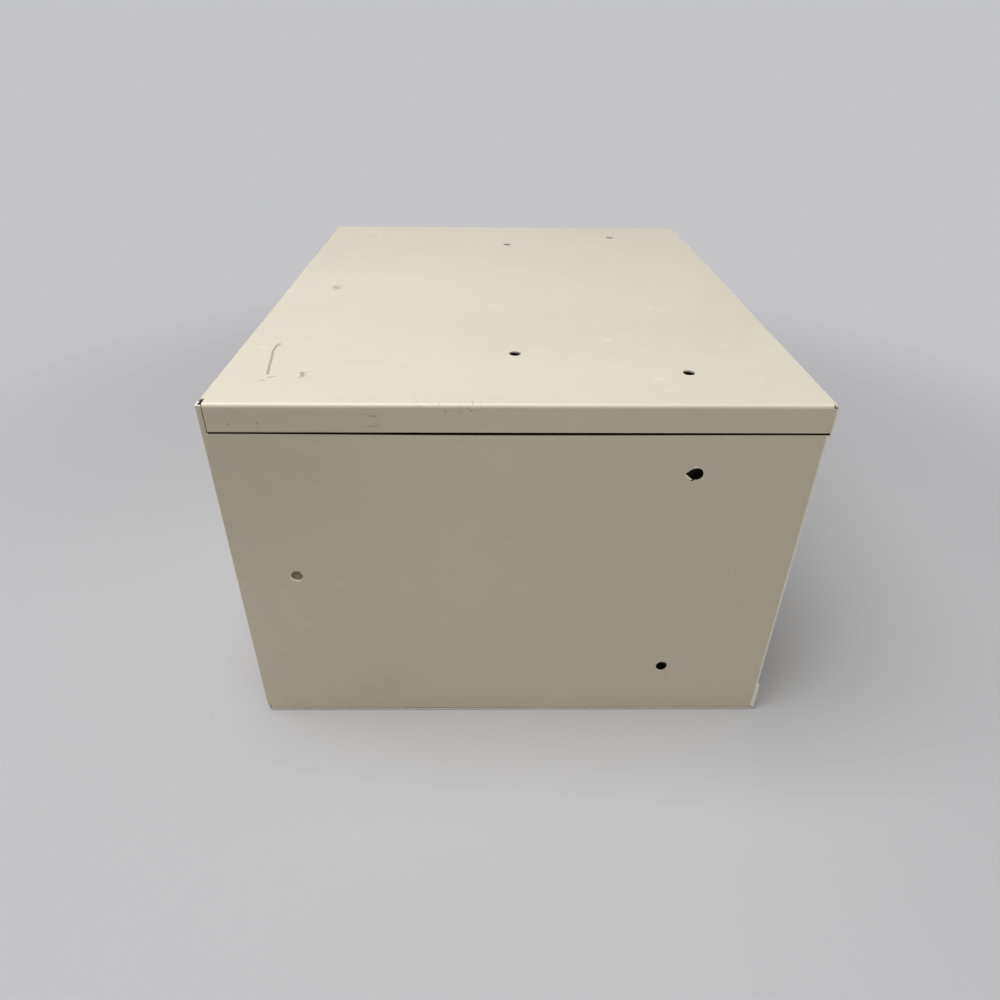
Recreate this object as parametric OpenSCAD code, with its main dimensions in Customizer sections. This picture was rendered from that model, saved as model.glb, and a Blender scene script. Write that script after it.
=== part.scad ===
// Small parts drawer cabinet: a folded sheet steel case with two columns of four drawers.
// Millimetres, +Z up, the drawers open towards -Y, the origin is the middle of the base.

/* [Case] */
// Width across the outside of the two sides
case_w = 376; // [300:1:460]
// Depth from the face of the front rails to the back
case_d = 305; // [250:1:380]
// Height from the base to the top
case_h = 210; // [190:1:260]
// Thickness of the case's sheet steel
sheet = 1; // [0.8:0.1:1.2]
// Inside radius of the case's folds
bend_r = 1; // [0.6:0.1:1.4]

/* [Top and bottom panels] */
// Drop of the top panel's lips at the sides and the back
lip_h = 14.8; // [11:0.1:17]
// Open seam between a lip and the wall below it
seam_gap = 0.8; // [0.4:0.1:1.2]
// Open gap at the ends of the lips and in the mitres of the foot flanges
lip_end_gap = 0.5; // [0.3:0.1:1]
// Width of the strip of wall that runs up each back corner, past the lips
corner_strip = 2.9; // [2.5:0.1:5]
// Width of that strip round the corner, on the back
corner_strip_back = 5.3; // [4:0.1:8]
// Height of the relief cut under each back corner
corner_relief_h = 3.2; // [2.5:0.1:5]
// Height of the rail at the front of the top panel
top_rail_h = 18.5; // [15:0.5:24]
// Height of the rail at the front of the bottom panel
bottom_rail_h = 21.3; // [18:0.1:28]
// Depth of the bottom rail's return, which carries the drawer deck
rail_return_w = 14; // [8:1:24]

/* [Wrap] */
// Inside radius of the wrap's folds, which are pressed tighter than the rest
wrap_bend_r = 0.4; // [0.3:0.1:1.2]
// Width of the stile folded in at each front corner
stile_w = 6; // [5.5:0.5:10]
// Width of the flange folded in along the foot of the wrap
flange_w = 12; // [8:1:20]
// Clearance above the laps that stand behind the lips
lap_clear = 0.2; // [0.1:0.1:0.5]

/* [Mounting holes] */
// Diameter of the mounting holes
hole_d = 6.4; // [4:0.1:8]
// Distance of the front holes from the face of the front rails
hole_front_inset = 63; // [40:0.5:90]
// Distance of the back holes from the back
hole_back_inset = 33.5; // [20:0.5:60]
// Height of the lower front hole in each side
side_hole_low = 38; // [32:1:48]
// Height of the upper front hole in each side
side_hole_high = 172.3; // [166:0.1:176]
// Height of the back hole in each side
side_hole_back = 107; // [100:1:107]
// Distance of the front holes in the top from the middle
top_hole_front_x = 149; // [100:1:149]
// Distance of the middle holes in the top from the middle
top_hole_mid_x = 123; // [60:1:140]
// Length of the tear beside the upper hole in the left side
tear_len = 1.6; // [1:0.1:4]

/* [Shelves] */
// Drop of a shelf's flanges where they meet the sides
shelf_flange_h = 14; // [8:1:18]
// Drop of the stop folded down along a shelf's front edge
stop_h = 6; // [4:0.5:9]
// Clearance at the ends and edges of the inner pieces
fit_gap = 0.3; // [0.2:0.1:0.6]
// Clearance on each side of a sheet in its slot
slot_gap = 0.15; // [0.1:0.05:0.3]
// Width of the foot of the guides beside the trays
guide_w = 4; // [3:0.5:4.5]
// Height of those guides
guide_h = 6; // [4:0.5:10]
// Depth of the fold that doubles the front edge of the upright
hem_w = 8; // [5:1:14]
// Width of the upright's back flange
upright_flange_w = 12; // [8:1:20]
// Length of the upright's tabs that pass through the deck
tab_len = 20; // [10:1:40]
// Distance of the outer tabs from the front and the back
tab_inset = 60; // [30:1:100]
// Length of the tabs below the deck
tab_drop = 2.5; // [1:0.5:5]
// Width of the stiffener under the top panel
stiffener_w = 26; // [16:1:40]
// Drop of the stiffener's legs
stiffener_h = 8; // [5:1:10]

/* [Trays] */
// Thickness of the trays' sheet steel
tray_sheet = 0.8; // [0.6:0.1:1]
// Inside radius of the trays' folds
tray_bend_r = 0.8; // [0.4:0.1:1.2]
// Clearance at each side of a tray
tray_side_gap = 0.8; // [0.4:0.1:1.5]
// Clearance under a tray
tray_run_gap = 0.3; // [0.2:0.1:0.6]
// Clearance above a tray's front
tray_top_gap = 1.2; // [0.8:0.1:2]
// Clearance behind a tray
tray_back_gap = 1; // [0.5:0.1:3]
// How far a tray's front lies behind the face of the stiles
tray_front_inset = 0.5; // [0:0.1:1.5]
// Drop of a tray's sides below the top of its front
tray_side_drop = 3; // [1:0.5:6]
// Height of the folded edge along the top of a tray's walls
tray_hem_h = 4; // [3:0.5:6]
// Length of the stop ear on a tray's side
ear_len = 12; // [6:1:20]
// Distance of the stop ear from the back of the tray
ear_inset = 60; // [30:1:90]
// Clearance above a stop ear
ear_gap = 0.8; // [0.4:0.1:1.5]
// Distance of the first divider slot from the front of the tray
slot_first = 25; // [15:1:40]
// Distance between divider slots
slot_pitch = 25; // [15:1:40]
// Height of the divider slots above the tray's underside
slot_foot = 5; // [3:0.5:8]

/* [Dividers] */
// Thickness of a divider
divider_t = 0.8; // [0.6:0.1:1.2]
// Clearance between a divider and the tray
divider_gap = 0.3; // [0.1:0.1:0.6]
// Which slot the front divider sits in, counted from the front
front_divider_slot = 4; // [1:1:5]
// Which slot the rear divider sits in, counted from the front
rear_divider_slot = 7; // [6:1:8]

/* [Label pulls] */
// Length of the hood and its card channel
pull_w = 84; // [60:1:110]
// Thickness of the pull's metal
pull_t = 0.9; // [0.7:0.1:1.2]
// Outside radius of the hood
hood_r = 11; // [9:0.5:12]
// Straight drop at the front of the hood
hood_drop = 2; // [0.5:0.5:3]
// Height of the hood's lower edge above the tray's underside
hood_foot = 5.5; // [4:0.5:7]
// Height of the label card
card_h = 12.5; // [9:0.5:13]
// Thickness of the label card
card_t = 0.3; // [0.2:0.1:0.4]
// Clearance round the label card
card_gap = 0.15; // [0.1:0.05:0.2]
// Cover of the channel's lips over the card
channel_cover = 2; // [1:0.5:3]
// Inside radius of the channel's folds
channel_r = 0.1; // [0.05:0.05:0.15]
// Radius of the rounded ears at the ends of the pull
pull_ear_r = 6; // [4.5:0.5:7]
// Distance of the rivets beyond the ends of the channel
rivet_inset = 3.5; // [3:0.5:6]

/* [Rivets] */
// Diameter of a rivet's shank
rivet_d = 3; // [2.4:0.1:4]
// Clearance round the shank
rivet_gap = 0.1; // [0.05:0.05:0.2]
// Diameter of a rivet's domed head
rivet_head_d = 5.8; // [5:0.1:7]
// Height of the domed head
rivet_head_h = 1.6; // [1:0.1:2]
// Diameter of the upset tail
rivet_tail_d = 4.8; // [4.4:0.1:6]
// Height of the upset tail
rivet_tail_h = 1; // [0.6:0.1:1.5]

/* [Hidden] */
$fn = 48;
rows = ["bottom", "lower", "upper", "top"];
columns = ["left", "right"];
drawer_pieces = [
    "tray", "pull", "pull_rivets", "label_card", "front_divider", "rear_divider"
];
function drawer_node(piece, row, column) = str(piece, "_", rows[row], "_", columns[column]);

beige = [0.85, 0.81, 0.72];
nickel = [0.75, 0.75, 0.73];
zinc = [0.66, 0.68, 0.69];
card_white = [0.95, 0.94, 0.9];

// How far a cut runs past the sheet that it goes through, and a root into what it joins
cut = 1;

// Faces of the case
half_w = case_w / 2;
front_y = -case_d / 2;
back_y = case_d / 2;
bend_o = bend_r + sheet;
wrap_bend_o = wrap_bend_r + sheet;
stile_y = front_y + sheet;
wall_foot = sheet + wrap_bend_o;
wall_top = case_h - lip_h - seam_gap;
lap_top = case_h - sheet - bend_r - lap_clear;
mouth_x = half_w - stile_w;
inner_x = mouth_x - fit_gap;

// Mounting holes
hole_front_y = front_y + hole_front_inset;
hole_back_y = back_y - hole_back_inset;

// Shelf levels: each level is the top face that a row of trays runs on
deck_z = bottom_rail_h + sheet;
row_pitch = (case_h - top_rail_h + stop_h - deck_z) / len(rows);
function level(row) = deck_z + row * row_pitch;
shelf_front_y = stile_y + bend_o + fit_gap;
shelf_back_y = back_y - sheet - bend_o - fit_gap;
upright_front_y = stile_y + sheet + fit_gap;
upright_top = case_h - 2 * sheet;
tab_ys = [front_y + tab_inset, 0, back_y - tab_inset];

// Trays, each in its own frame: the front face at y = 0, the underside at z = 0
column_w = mouth_x - sheet;
column_x = (mouth_x + sheet) / 2;
tray_w = column_w - 2 * tray_side_gap;
tray_y = stile_y + tray_front_inset;
tray_len = back_y - 2 * sheet - tray_back_gap - tray_y;
tray_bend_o = tray_bend_r + tray_sheet;
front_h = row_pitch - stop_h - tray_run_gap - tray_top_gap;
side_h = front_h - tray_side_drop;
hem_foot = side_h - tray_hem_h;
ear_top = row_pitch - sheet - tray_run_gap - ear_gap;
ear_y = tray_len - ear_inset - ear_len;
slot_top = hem_foot - sheet;
slot_count = floor((tray_len - 2 * slot_first) / slot_pitch) + 1;
function slot_y(slot) = slot_first + (slot - 1) * slot_pitch;

// Label pulls, in the tray's frame: the channel stands on the top of the hood
hood_z = hood_foot + hood_drop;
channel_foot = hood_z + hood_r;
card_foot = channel_foot + card_gap;
channel_top = card_foot + card_h + card_gap + pull_t;
card_slot = card_t + 2 * card_gap;
channel_depth = 2 * pull_t + card_slot;
rivet_x = pull_w / 2 + rivet_inset;
rivet_z = (channel_foot + channel_top) / 2;
rivet_hole_d = rivet_d + 2 * rivet_gap;

function unit(v) = v / norm(v);

module box(low, high) {
    translate(low) cube(high - low);
}

// A profile drawn in Y and Z, run along X
module along_x(from, to) {
    translate([from, 0, 0]) rotate([90, 0, 90]) linear_extrude(to - from) children();
}

// A profile drawn in X and Z, run along Y
module along_y(from, to) {
    translate([0, to, 0]) rotate([90, 0, 0]) linear_extrude(to - from) children();
}

module both_sides() {
    children();
    mirror([1, 0, 0]) children();
}

// Profiles for an edge of the case are drawn with x = 0 on its outer face and x growing inwards
module on_left(from, to) {
    translate([-half_w, 0, 0]) along_y(from, to) children();
}

module on_back(from, to) {
    translate([0, back_y, 0]) mirror([0, 1, 0]) along_x(from, to) children();
}

module on_front(from, to) {
    translate([0, front_y, 0]) along_x(from, to) children();
}

// Folded sheet seen end on: path is the centre line with square corners
module folded(path, t, r) {
    last = len(path) - 1;
    mid_r = r + t / 2;
    for (i = [0 : last - 1]) {
        along = unit(path[i + 1] - path[i]);
        from = path[i] + (i > 0 ? along * mid_r : [0, 0]);
        to = path[i + 1] - (i < last - 1 ? along * mid_r : [0, 0]);
        side = [-along.y, along.x] * t / 2;
        polygon([from - side, to - side, to + side, from + side]);
    }
    for (i = [1 : 1 : last - 1]) {
        along = unit(path[i] - path[i - 1]);
        next = unit(path[i + 1] - path[i]);
        right_turn = along.x * next.y < along.y * next.x;
        start = right_turn ? along : -next;
        translate(path[i] + (next - along) * mid_r) intersection() {
            difference() {
                circle(r + t);
                circle(r);
            }
            rotate(atan2(start.y, start.x)) square(r + t);
        }
    }
}

// A flat-closed fold along the top of a wall whose outer face is x = 0
module hem_profile(t, foot, top) {
    translate([0, foot]) square([2 * t, top - t - foot]);
    translate([t, top - t]) intersection() {
        circle(t);
        translate([-t, 0]) square([2 * t, t]);
    }
}

// Wrap: the back and both sides from one sheet
wrap_plan = [
    [-mouth_x, stile_y + sheet / 2],
    [-half_w + sheet / 2, stile_y + sheet / 2],
    [-half_w + sheet / 2, back_y - sheet / 2],
    [half_w - sheet / 2, back_y - sheet / 2],
    [half_w - sheet / 2, stile_y + sheet / 2],
    [mouth_x, stile_y + sheet / 2]
];

module foot_flange() {
    folded([
        [sheet / 2, wall_foot + cut],
        [sheet / 2, 1.5 * sheet],
        [flange_w, 1.5 * sheet]
    ], sheet, wrap_bend_r);
}

// The wall steps in by one thickness to stand behind a lip of the top panel
module lip_lap() {
    polygon([
        [0, wall_top - 4 * sheet],
        [sheet, wall_top - 4 * sheet],
        [sheet, wall_top - 2 * sheet],
        [2 * sheet, wall_top - sheet],
        [2 * sheet, lap_top],
        [sheet, lap_top],
        [sheet, wall_top],
        [0, wall_top]
    ]);
}

module back_corner_columns() {
    translate([0, 0, wall_top - cut]) linear_extrude(case_h - sheet - wall_top + cut)
    intersection() {
        folded(wrap_plan, sheet, wrap_bend_r);
        both_sides() translate([-half_w, back_y - corner_strip])
        square([corner_strip_back, corner_strip]);
    }
}

// The front corners are filled out square where they meet the ends of the rails
module rail_corners() {
    for (span = [[wall_foot, bottom_rail_h], [case_h - top_rail_h, wall_top]])
        both_sides() box(
            [-half_w, stile_y, span[0]],
            [-half_w + wrap_bend_o, stile_y + wrap_bend_o, span[1]]
        );
}

module stile_tops() {
    both_sides() box(
        [-half_w + wrap_bend_o, stile_y, wall_top - cut],
        [-mouth_x, stile_y + sheet, lap_top]
    );
}

module back_corner_reliefs() {
    both_sides() box(
        [-half_w - cut, back_y - corner_strip, 0],
        [-half_w + corner_strip, back_y + cut, sheet + corner_relief_h]
    );
}

module side_holes() {
    for (place = [
        [hole_front_y, side_hole_low],
        [hole_front_y, side_hole_high],
        [hole_back_y, side_hole_back]
    ])
        translate([0, place.x, place.y]) rotate([0, 90, 0])
        cylinder(d = hole_d, h = case_w + 2 * cut, center = true);
}

// The upper hole in the left side is torn towards the back, along tangents that meet in a point
module torn_hole() {
    hole_r = hole_d / 2;
    tip = hole_r + tear_len;
    touch = [pow(hole_r, 2) / tip, hole_r * sqrt(1 - pow(hole_r / tip, 2))];
    translate([-half_w - cut, hole_front_y, side_hole_high]) rotate([90, 0, 90])
    linear_extrude(sheet + 2 * cut)
    polygon([[0, 0], [touch.x, -touch.y], [tip, 0], touch]);
}

// The foot flanges meet in a mitre at each back corner
module flange_mitres() {
    both_sides() translate([-half_w, back_y, 0]) rotate(-45)
    box([0, -lip_end_gap / 2, 0], [2 * flange_w, lip_end_gap / 2, 2 * sheet + cut]);
}

module wrap() {
    flange_end_y = back_y - corner_strip;
    flange_end_x = half_w - corner_strip;
    lap_end_y = flange_end_y - 2 * lip_end_gap;
    lap_end_x = half_w - corner_strip_back - 2 * lip_end_gap;
    color(beige) difference() {
        union() {
            translate([0, 0, wall_foot]) linear_extrude(wall_top - wall_foot)
            folded(wrap_plan, sheet, wrap_bend_r);
            both_sides() on_left(stile_y + wrap_bend_o, flange_end_y) foot_flange();
            on_back(-flange_end_x, flange_end_x) foot_flange();
            both_sides() on_left(stile_y + wrap_bend_o, lap_end_y) lip_lap();
            on_back(-lap_end_x, lap_end_x) lip_lap();
            back_corner_columns();
            rail_corners();
            stile_tops();
        }
        flange_mitres();
        back_corner_reliefs();
        side_holes();
        torn_hole();
    }
}

// Top panel: a pan whose lips lie flush with the walls and whose front edge is the top rail
module top_edge(drop, root) {
    folded([
        [bend_o + root, case_h - sheet / 2],
        [sheet / 2, case_h - sheet / 2],
        [sheet / 2, case_h - drop]
    ], sheet, bend_r);
}

module top_holes() {
    for (place = [
        [-top_hole_front_x, hole_front_y],
        [top_hole_front_x, hole_front_y],
        [-top_hole_mid_x, 0],
        [top_hole_mid_x, 0],
        [0, hole_back_y]
    ])
        translate([place.x, place.y, case_h - sheet - cut])
        cylinder(d = hole_d, h = sheet + 2 * cut);
}

module top_panel() {
    notch_x = corner_strip_back + lip_end_gap;
    notch_y = corner_strip + lip_end_gap;
    fold_y = front_y + bend_o;
    slit_y = fold_y + lip_end_gap;
    color(beige) difference() {
        union() {
            box(
                [-half_w + bend_o, fold_y, case_h - sheet],
                [half_w - bend_o, back_y - bend_o, case_h]
            );
            both_sides() on_left(slit_y, back_y - notch_y) top_edge(lip_h, cut);
            on_back(-half_w + notch_x, half_w - notch_x) top_edge(lip_h, cut);
            on_front(-half_w, half_w) top_edge(top_rail_h, lip_end_gap);
            both_sides() box(
                [-half_w, front_y + sheet / 2, case_h - lip_h],
                [-half_w + sheet, slit_y + cut, case_h - bend_o]
            );
        }
        both_sides() box(
            [-half_w - cut, fold_y, case_h - bend_o],
            [-half_w + bend_o, slit_y, case_h + cut]
        );
        both_sides() box(
            [-half_w - cut, back_y - notch_y, case_h - lip_h - cut],
            [-half_w + notch_x, back_y + cut, case_h + cut]
        );
        top_holes();
    }
}

// Bottom panel: the base sheet, folded up into the bottom rail and back over its top
module bottom_panel() {
    rail_mid_y = front_y + sheet / 2;
    color(beige) difference() {
        union() {
            along_x(-half_w, half_w) folded([
                [back_y, sheet / 2],
                [rail_mid_y, sheet / 2],
                [rail_mid_y, bottom_rail_h - bend_o]
            ], sheet, bend_r);
            along_x(-inner_x, inner_x) folded([
                [rail_mid_y, bottom_rail_h - bend_o - cut],
                [rail_mid_y, bottom_rail_h - sheet / 2],
                [front_y + rail_return_w, bottom_rail_h - sheet / 2]
            ], sheet, bend_r);
            both_sides() box(
                [-half_w, front_y, bottom_rail_h - bend_o - cut],
                [-inner_x, front_y + sheet, bottom_rail_h]
            );
        }
        both_sides() translate([-half_w, back_y, -cut]) rotate(45)
        linear_extrude(sheet + 2 * cut) square(corner_strip * sqrt(2), center = true);
    }
}

// Stiffener: a channel under the middle of the top, which the upright stands in
module top_stiffener() {
    leg_x = (stiffener_w - sheet) / 2;
    web_z = case_h - 1.5 * sheet;
    end_y = case_d / 2 - sheet - bend_o - fit_gap;
    color(beige) along_y(-end_y, end_y) folded([
        [-leg_x, case_h - sheet - stiffener_h],
        [-leg_x, web_z],
        [leg_x, web_z],
        [leg_x, case_h - sheet - stiffener_h]
    ], sheet, bend_r);
}

// Upright: one sheet between the columns, slotted from the front over the shelves
module upright_plan() {
    folded([
        [-sheet / 2, upright_front_y + sheet],
        [-sheet / 2, back_y - 1.5 * sheet],
        [upright_flange_w, back_y - 1.5 * sheet]
    ], sheet, bend_r);
}

module upright_hem() {
    hem_y = upright_front_y + sheet;
    translate([-sheet, hem_y]) square([2 * sheet, hem_w - sheet]);
    translate([0, hem_y]) intersection() {
        circle(sheet);
        translate([-sheet, -sheet]) square([2 * sheet, sheet]);
    }
}

module centre_upright() {
    color(beige) difference() {
        union() {
            translate([0, 0, deck_z]) linear_extrude(upright_top - deck_z) {
                upright_plan();
                upright_hem();
            }
            for (y = tab_ys) box(
                [-sheet, y - tab_len / 2, deck_z - sheet - tab_drop],
                [0, y + tab_len / 2, deck_z + cut]
            );
        }
        for (row = [1 : len(rows) - 1]) {
            box(
                [-sheet - cut, front_y, level(row) - sheet - slot_gap],
                [sheet + cut, slot_gap, level(row) + slot_gap]
            );
            box(
                [-sheet - cut, front_y, level(row) - bend_o - slot_gap],
                [sheet + cut, shelf_front_y, level(row) + slot_gap]
            );
        }
        box(
            [-sheet - cut, shelf_back_y, wall_top - 4 * sheet],
            [upright_flange_w + cut, back_y, upright_top + cut]
        );
    }
}

// Shelves: each hangs between the sides on folded flanges
module shelf_plate(z) {
    flange_x = half_w - 1.5 * sheet;
    along_y(shelf_front_y, shelf_back_y) folded([
        [-flange_x, z - shelf_flange_h],
        [-flange_x, z - sheet / 2],
        [flange_x, z - sheet / 2],
        [flange_x, z - shelf_flange_h]
    ], sheet, bend_r);
}

module drawer_deck() {
    color(beige) difference() {
        union() {
            shelf_plate(deck_z);
            box(
                [-inner_x, stile_y, deck_z - sheet],
                [inner_x, shelf_front_y + cut, deck_z]
            );
        }
        for (y = tab_ys) box(
            [-sheet - slot_gap, y - tab_len / 2 - slot_gap, deck_z - sheet - cut],
            [slot_gap, y + tab_len / 2 + slot_gap, deck_z + cut]
        );
    }
}

module shelf(row) {
    z = level(row);
    color(beige) difference() {
        union() {
            shelf_plate(z);
            along_x(-inner_x, inner_x) folded([
                [shelf_front_y + cut, z - sheet / 2],
                [stile_y + sheet / 2, z - sheet / 2],
                [stile_y + sheet / 2, z - stop_h]
            ], sheet, bend_r);
        }
        box(
            [-sheet - slot_gap, -slot_gap, z - sheet - cut],
            [slot_gap, back_y, z + cut]
        );
    }
}

// Guides: angle strips on the deck and the shelves that keep the trays straight
module drawer_guides() {
    color(beige) for (row = [0 : len(rows) - 1]) {
        z = level(row);
        both_sides() along_y(shelf_front_y, shelf_back_y) folded([
            [mouth_x + guide_w, z + sheet / 2],
            [mouth_x + sheet / 2, z + sheet / 2],
            [mouth_x + sheet / 2, z + guide_h]
        ], sheet, bend_r);
    }
}

module in_drawer(row, column) {
    side = column == 0 ? -1 : 1;
    translate([side * column_x, tray_y, level(row) + tray_run_gap]) children();
}

module rivet_places() {
    for (side = [-1, 1]) translate([side * rivet_x, 0, rivet_z]) rotate([90, 0, 0]) children();
}

// Tray: bottom, front, back and sides from one folded sheet
module tray_end(height) {
    folded([
        [tray_bend_o + cut, tray_sheet / 2],
        [tray_sheet / 2, tray_sheet / 2],
        [tray_sheet / 2, height]
    ], tray_sheet, tray_bend_r);
}

// The fold along a side stops short of the front and back folds and is cut away at the stop ear
module tray_side() {
    fold_end = 2 * tray_sheet + fit_gap;
    fold_runs = [
        [fold_end, ear_y - fit_gap],
        [ear_y + ear_len + fit_gap, tray_len - fold_end]
    ];
    translate([-tray_w / 2, 0, 0]) {
        box([0, 0, tray_bend_o], [tray_sheet, tray_len, side_h - tray_sheet]);
        for (run = fold_runs) along_y(run[0], run[1]) hem_profile(tray_sheet, hem_foot, side_h);
        box([0, ear_y, hem_foot], [tray_sheet, ear_y + ear_len, ear_top]);
    }
}

module tray() {
    half = tray_w / 2;
    color(beige) difference() {
        union() {
            along_y(tray_bend_o, tray_len - tray_bend_o) folded([
                [-half + tray_sheet / 2, tray_bend_o + cut],
                [-half + tray_sheet / 2, tray_sheet / 2],
                [half - tray_sheet / 2, tray_sheet / 2],
                [half - tray_sheet / 2, tray_bend_o + cut]
            ], tray_sheet, tray_bend_r);
            both_sides() tray_side();
            along_x(-half + tray_bend_o, half - tray_bend_o) tray_end(tray_bend_o + cut);
            box([-half, 0, tray_bend_o], [half, tray_sheet, front_h - tray_sheet]);
            along_x(-half, half) hem_profile(tray_sheet, front_h - tray_hem_h, front_h);
            translate([0, tray_len, 0]) mirror([0, 1, 0]) {
                along_x(-half + tray_bend_o, half - tray_bend_o) tray_end(tray_bend_o + cut);
                box([-half, 0, tray_bend_o], [half, tray_sheet, side_h - tray_sheet]);
                along_x(-half, half) hem_profile(tray_sheet, hem_foot, side_h);
            }
        }
        for (slot = [1 : slot_count]) box(
            [-half - cut, slot_y(slot) - divider_t / 2 - slot_gap, slot_foot],
            [half + cut, slot_y(slot) + divider_t / 2 + slot_gap, slot_top]
        );
        rivet_places() cylinder(d = rivet_hole_d, h = 2 * tray_sheet + 2 * cut, center = true);
    }
}

// Divider: its corners clear the tray's folds, and its tabs sit in the slots of the tray's sides
module divider_half() {
    inner = tray_w / 2 - tray_sheet - divider_gap;
    upper = inner - tray_sheet;
    tab_x = tray_w / 2 - slot_gap;
    tab_foot = slot_foot + slot_gap;
    tab_top = slot_top - slot_gap;
    polygon([
        [-cut, tray_sheet],
        [inner - tray_bend_r, tray_sheet],
        [inner, tray_bend_o],
        [inner, tab_foot],
        [tab_x, tab_foot],
        [tab_x, tab_top],
        [upper, tab_top],
        [upper, side_h - tray_sheet],
        [-cut, side_h - tray_sheet]
    ]);
}

module divider(slot) {
    color(zinc) both_sides()
    along_y(slot_y(slot) - divider_t / 2, slot_y(slot) + divider_t / 2) divider_half();
}

// Label pull: a card channel above a hood that fingers reach under, on a plate with two ears
module hood_section(r) {
    translate([pull_t, hood_z]) intersection() {
        circle(r);
        square(r);
    }
    translate([0, hood_foot]) square([pull_t + r, hood_drop]);
}

module pull_profile() {
    lip_mid = 1.5 * pull_t + card_slot;
    folded([
        [pull_t / 2, channel_foot - pull_t],
        [pull_t / 2, channel_top - pull_t / 2],
        [lip_mid, channel_top - pull_t / 2],
        [lip_mid, channel_top - pull_t - channel_cover]
    ], pull_t, channel_r);
    translate([pull_t + card_slot, channel_foot - pull_t / 2])
    square([pull_t, pull_t / 2 + channel_cover]);
    difference() {
        hood_section(hood_r);
        translate([-cut, 0]) square([pull_t + cut, channel_foot - pull_t]);
        translate([pull_t, hood_z]) circle(hood_r - pull_t);
        translate([0, hood_foot - cut]) square([hood_r, hood_drop + cut]);
    }
}

module pull_ears() {
    both_sides() {
        translate([rivet_x, rivet_z]) circle(pull_ear_r);
        translate([0, rivet_z - pull_ear_r]) square([rivet_x, 2 * pull_ear_r]);
    }
}

module pull() {
    color(nickel) mirror([0, 1, 0]) difference() {
        union() {
            along_x(-pull_w / 2, pull_w / 2) pull_profile();
            both_sides() along_x(-pull_w / 2, -pull_w / 2 + pull_t) hood_section(hood_r);
            translate([0, pull_t, 0]) rotate([90, 0, 0]) linear_extrude(pull_t) pull_ears();
        }
        rivet_places() cylinder(d = rivet_hole_d, h = 4 * pull_t, center = true);
    }
}

module rivet() {
    dome_r = (pow(rivet_head_d / 2, 2) + pow(rivet_head_h, 2)) / (2 * rivet_head_h);
    translate([0, 0, pull_t]) rotate_extrude() intersection() {
        translate([0, rivet_head_h - dome_r]) circle(dome_r);
        square([rivet_head_d / 2, rivet_head_h]);
    }
    translate([0, 0, -tray_sheet]) cylinder(d = rivet_d, h = tray_sheet + pull_t);
    translate([0, 0, -tray_sheet - rivet_tail_h]) cylinder(d = rivet_tail_d, h = rivet_tail_h);
}

module pull_rivets() {
    color(nickel) rivet_places() rivet();
}

module label_card() {
    half = pull_w / 2 - card_gap;
    color(card_white) box(
        [-half, -pull_t - card_gap - card_t, card_foot],
        [half, -pull_t - card_gap, card_foot + card_h]
    );
}

module drawer_piece(piece) {
    if (piece == "tray") tray();
    if (piece == "pull") pull();
    if (piece == "pull_rivets") pull_rivets();
    if (piece == "label_card") label_card();
    if (piece == "front_divider") divider(front_divider_slot);
    if (piece == "rear_divider") divider(rear_divider_slot);
}

wrap();
top_panel();
bottom_panel();
top_stiffener();
centre_upright();
drawer_deck();
shelf(1);  // shelf_1
shelf(2);  // shelf_2
shelf(3);  // shelf_3
drawer_guides();
for (row = [0 : len(rows) - 1], column = [0 : 1], piece = drawer_pieces)
    in_drawer(row, column) drawer_piece(piece);
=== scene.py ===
import bpy
from math import radians
from mathutils import Euler, Matrix, Vector

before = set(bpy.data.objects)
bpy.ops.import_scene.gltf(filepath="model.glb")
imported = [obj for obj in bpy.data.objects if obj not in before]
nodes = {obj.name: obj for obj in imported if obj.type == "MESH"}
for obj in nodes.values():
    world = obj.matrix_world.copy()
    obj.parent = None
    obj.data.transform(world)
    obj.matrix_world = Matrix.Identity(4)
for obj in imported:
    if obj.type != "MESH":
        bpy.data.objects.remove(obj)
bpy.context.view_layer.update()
print("cabinet loaded:", len(nodes), "nodes")

mmPerMetre = 1000.0


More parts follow.
